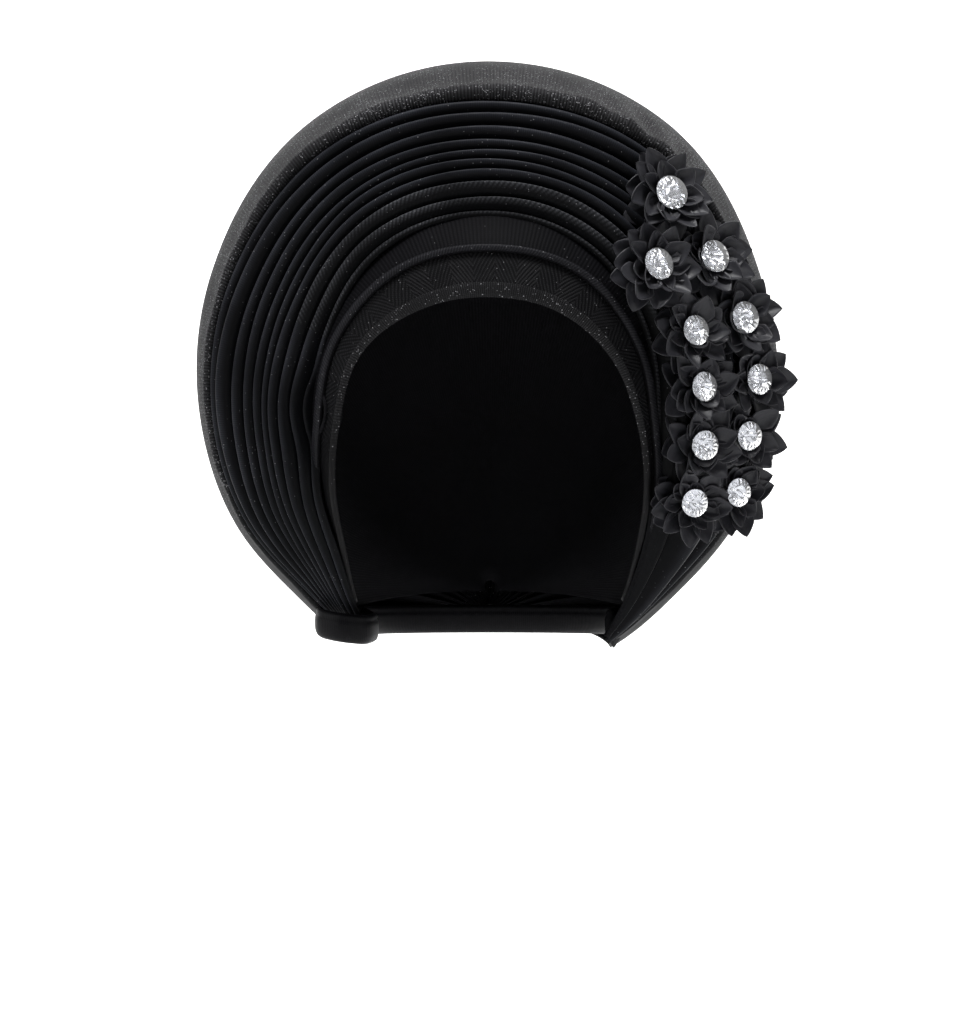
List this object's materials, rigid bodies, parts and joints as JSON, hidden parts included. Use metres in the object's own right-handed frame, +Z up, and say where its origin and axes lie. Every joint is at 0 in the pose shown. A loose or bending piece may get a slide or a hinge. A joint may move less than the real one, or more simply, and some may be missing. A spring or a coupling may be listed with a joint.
{
  "type": "tied gele head tie",
  "caption": "Worn head tie of stiff black glitter cloth: fanned pleats round an open face, a smooth crown gathered at the nape, and ribbon flowers with cut clear stones.",
  "frame": {"origin": "inside top of the cap, on the middle line, where the crown of the head sits", "axes": "+Z up, -Y out of the face opening, +X towards the side with the flowers"},
  "size_m": [0.2548, 0.2069, 0.2539],
  "materials": {
    "net_cap": "fine black net with small silver specks",
    "brow_band": "fine ribbed black cloth, soft sheen",
    "pleat_fan": "stiff black cloth with silver glitter thread",
    "crown_wrap": "stiff charcoal cloth with dense silver glitter",
    "nape_tie": "black cloth with silver glitter thread",
    "ribbon_flower": "black satin ribbon",
    "clear_stone": "clear cut stone with a silvered back"
  },
  "bodies": {
    "root": {"net_cap": "net_cap", "brow_band": "brow_band", "pleat_fan": "pleat_fan", "crown_wrap": "crown_wrap", "nape_tie": "nape_tie", "flower_01": "ribbon_flower", "flower_02": "ribbon_flower", "flower_03": "ribbon_flower", "flower_04": "ribbon_flower", "flower_05": "ribbon_flower", "flower_06": "ribbon_flower", "flower_07": "ribbon_flower", "flower_08": "ribbon_flower", "flower_09": "ribbon_flower", "flower_10": "ribbon_flower", "flower_11": "ribbon_flower", "stone_01": "clear_stone", "stone_02": "clear_stone", "stone_03": "clear_stone", "stone_04": "clear_stone", "stone_05": "clear_stone", "stone_06": "clear_stone", "stone_07": "clear_stone", "stone_08": "clear_stone", "stone_09": "clear_stone", "stone_10": "clear_stone", "stone_11": "clear_stone"}
  },
  "joints": []
}
